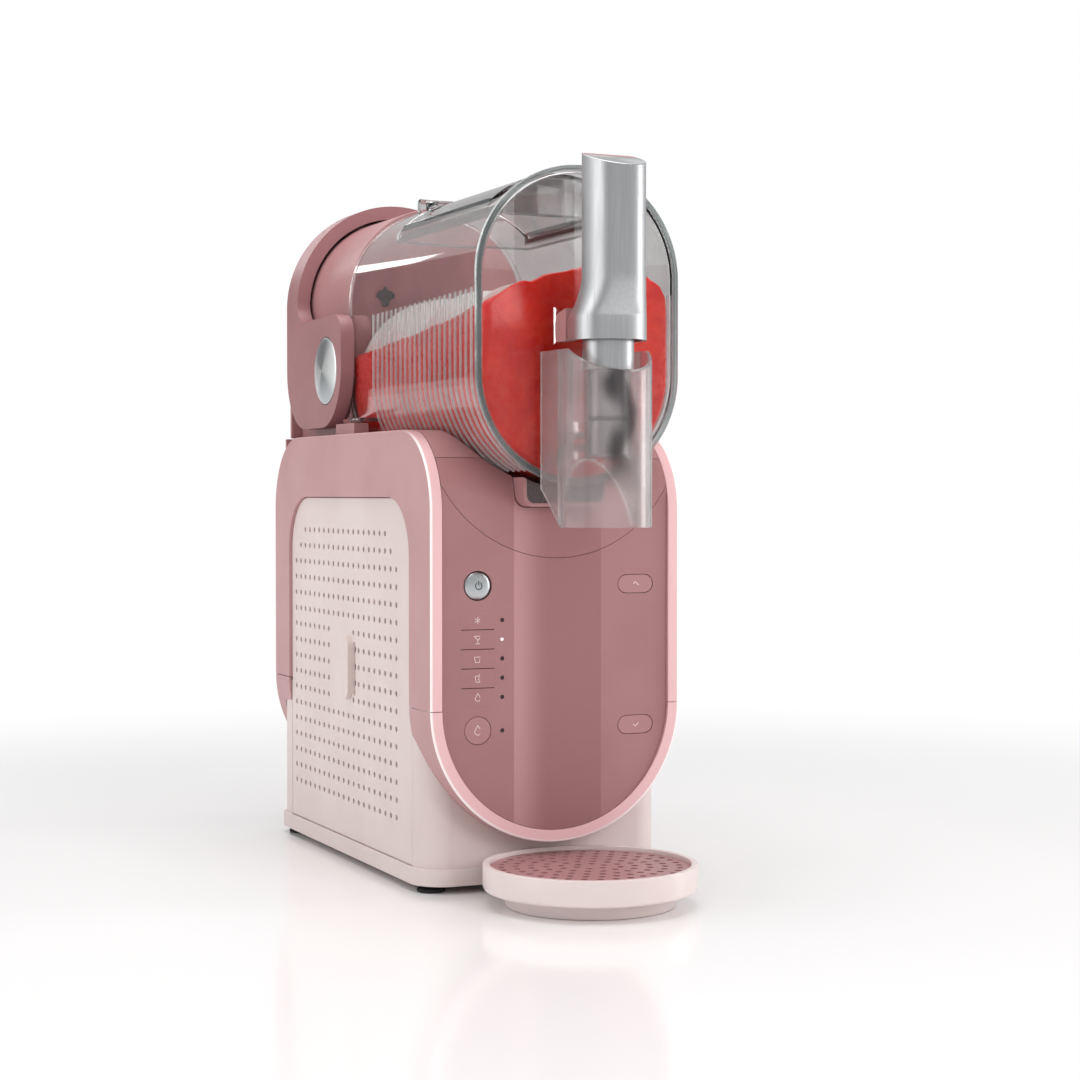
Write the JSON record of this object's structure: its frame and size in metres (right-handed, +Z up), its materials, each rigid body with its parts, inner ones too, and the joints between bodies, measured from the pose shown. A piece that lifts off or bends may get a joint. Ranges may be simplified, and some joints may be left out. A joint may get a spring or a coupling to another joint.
{
  "type": "ice cream maker",
  "caption": "Countertop frozen-drink maker: clear bowl with turning auger around a cold drum, pull tap over a drip tray, push buttons and a swinging bail handle.",
  "frame": {"origin": "middle of the footprint box (body and drip tray together) at floor level", "axes": "+Z up, -Y towards the tap and drip tray, +X to the right hand of a user facing the tap"},
  "size_m": [0.166, 0.416, 0.449],
  "materials": {
    "rose": "satin",
    "deep_rose": "satin",
    "cream": "satin",
    "clear": "clear",
    "smoke": "clear smoked",
    "brushed": "brushed",
    "steel": "fine brushed",
    "chrome": "polished",
    "white": "moulded",
    "black": "semi-matt",
    "rubber": "matt",
    "copper": "drawn copper tube",
    "alloy": "cast",
    "board": "solder mask",
    "lens": "frosted"
  },
  "bodies": {
    "machine": {"base_tub": "cream", "foot_front_left": "rubber", "foot_front_right": "rubber", "foot_back_left": "rubber", "foot_back_right": "rubber", "front_skirt": "rose", "rear_skirt": "rose", "side_cover_left": "rose", "side_cover_right": "rose", "front_panel": "deep_rose", "status_light_guide": "lens", "front_apron": "deep_rose", "top_cover": "rose", "tower_housing": "rose", "tower_back_cover": "rose", "bail_pin_left": "steel", "bail_pin_right": "steel", "evaporator_drum": "steel", "drum_gasket": "white", "gearbox": "alloy", "auger_motor": "steel", "chassis_plate": "steel", "compressor": "black", "condenser": "alloy", "fan_frame": "black", "fan_motor": "steel", "control_board": "board", "power_board": "board", "refrigerant_line": "copper", "rear_cover": "rose", "mains_gland": "rubber"},
    "bail": {"bail_handle": "rose", "bail_cap_left": "brushed", "bail_cap_right": "brushed"},
    "bowl": {"bowl": "clear", "tap_hinge_pin": "steel"},
    "lid": {"fill_lid": "clear"},
    "tap_handle": {"tap_handle_shell": "brushed", "tap_handle_back": "rose"},
    "plunger": {"tap_plunger": "brushed", "plunger_seal": "rubber"},
    "shroud": {"dispense_shroud": "smoke"},
    "auger": {"auger": "white"},
    "shaft": {"drive_shaft": "steel"},
    "fan": {"fan_blades": "black"},
    "vent_left": {"vent_panel_left": "cream"},
    "vent_right": {"vent_panel_right": "cream"},
    "catch": {"condensation_catch": "deep_rose"},
    "tray": {"drip_tray": "cream"},
    "tray_cover": {"drip_cover": "deep_rose"},
    "power_button": {"power_button": "chrome"},
    "rinse_button": {"rinse_button": "deep_rose"},
    "temperature_up_button": {"temperature_up_button": "deep_rose"},
    "temperature_down_button": {"temperature_down_button": "deep_rose"},
    "key_slush": {"key_slush": "deep_rose"},
    "key_frozen_cocktail": {"key_frozen_cocktail": "deep_rose"},
    "key_frappe": {"key_frappe": "deep_rose"},
    "key_milkshake": {"key_milkshake": "deep_rose"},
    "key_frozen_juice": {"key_frozen_juice": "deep_rose"}
  },
  "joints": [
    {"name": "bail_swing", "type": "hinge", "parent": "machine", "child": "bail", "pos_m": [0, 0.118, 0.3256], "axis": [1, 0, 0], "range_deg": [0, 35]},
    {"name": "bowl_slide_off", "type": "slide", "parent": "machine", "child": "bowl", "axis": [0, -1, 0], "range_m": [0, 0.24]},
    {"name": "fill_lid_hinge", "type": "hinge", "parent": "bowl", "child": "lid", "pos_m": [0, 0.056, 0.434], "axis": [1, 0, 0], "range_deg": [-80, 0]},
    {"name": "tap_handle_pull", "type": "hinge", "parent": "bowl", "child": "tap_handle", "pos_m": [0, -0.148, 0.341], "axis": [1, 0, 0], "range_deg": [0, 13], "stiffness_Nm_per_rad": 1.6, "springref_deg": -9.17},
    {"name": "tap_plunger_lift", "type": "slide", "parent": "bowl", "child": "plunger", "axis": [0, 0, 1], "range_m": [0, 0.0112]},
    {"name": "shroud_pull_off", "type": "slide", "parent": "bowl", "child": "shroud", "axis": [0, 0, -1], "range_m": [0, 0.04]},
    {"name": "auger_turn", "type": "hinge", "parent": "machine", "child": "auger", "pos_m": [0, 0, 0.313], "axis": [0, 1, 0], "continuous": true},
    {"name": "shaft_turn", "type": "hinge", "parent": "machine", "child": "shaft", "pos_m": [0, 0, 0.313], "axis": [0, 1, 0], "continuous": true},
    {"name": "fan_turn", "type": "hinge", "parent": "machine", "child": "fan", "pos_m": [-0.0427, 0.016, 0.1], "axis": [1, 0, 0], "continuous": true},
    {"name": "vent_left_lift_off", "type": "slide", "parent": "machine", "child": "vent_left", "axis": [-1, 0, 0], "range_m": [0, 0.03]},
    {"name": "vent_right_lift_off", "type": "slide", "parent": "machine", "child": "vent_right", "axis": [1, 0, 0], "range_m": [0, 0.03]},
    {"name": "catch_slide", "type": "slide", "parent": "machine", "child": "catch", "axis": [0, -1, 0], "range_m": [0, 0.018]},
    {"name": "tray_slide_off", "type": "slide", "parent": "machine", "child": "tray", "axis": [0, -1, 0], "range_m": [0, 0.08]},
    {"name": "tray_cover_lift", "type": "slide", "parent": "tray", "child": "tray_cover", "axis": [0, 0, 1], "range_m": [0, 0.006]},
    {"name": "power_button_press", "type": "slide", "parent": "machine", "child": "power_button", "axis": [0, 1, 0], "range_m": [0, 0.0012], "stiffness_N_per_m": 500, "springref_m": -0.0006},
    {"name": "rinse_button_press", "type": "slide", "parent": "machine", "child": "rinse_button", "axis": [0, 1, 0], "range_m": [0, 0.0012], "stiffness_N_per_m": 500, "springref_m": -0.0006},
    {"name": "temperature_up_button_press", "type": "slide", "parent": "machine", "child": "temperature_up_button", "axis": [0, 1, 0], "range_m": [0, 0.0012], "stiffness_N_per_m": 500, "springref_m": -0.0006},
    {"name": "temperature_down_button_press", "type": "slide", "parent": "machine", "child": "temperature_down_button", "axis": [0, 1, 0], "range_m": [0, 0.0012], "stiffness_N_per_m": 500, "springref_m": -0.0006},
    {"name": "key_slush_press", "type": "slide", "parent": "machine", "child": "key_slush", "axis": [0, 1, 0], "range_m": [0, 0.0012], "stiffness_N_per_m": 500, "springref_m": -0.0006},
    {"name": "key_frozen_cocktail_press", "type": "slide", "parent": "machine", "child": "key_frozen_cocktail", "axis": [0, 1, 0], "range_m": [0, 0.0012], "stiffness_N_per_m": 500, "springref_m": -0.0006},
    {"name": "key_frappe_press", "type": "slide", "parent": "machine", "child": "key_frappe", "axis": [0, 1, 0], "range_m": [0, 0.0012], "stiffness_N_per_m": 500, "springref_m": -0.0006},
    {"name": "key_milkshake_press", "type": "slide", "parent": "machine", "child": "key_milkshake", "axis": [0, 1, 0], "range_m": [0, 0.0012], "stiffness_N_per_m": 500, "springref_m": -0.0006},
    {"name": "key_frozen_juice_press", "type": "slide", "parent": "machine", "child": "key_frozen_juice", "axis": [0, 1, 0], "range_m": [0, 0.0012], "stiffness_N_per_m": 500, "springref_m": -0.0006}
  ],
  "couplings": [
    {"joint": "tap_plunger_lift", "follows": "tap_handle_pull", "m_per_rad": 0.04848},
    {"joint": "shaft_turn", "follows": "auger_turn", "ratio": 1}
  ]
}
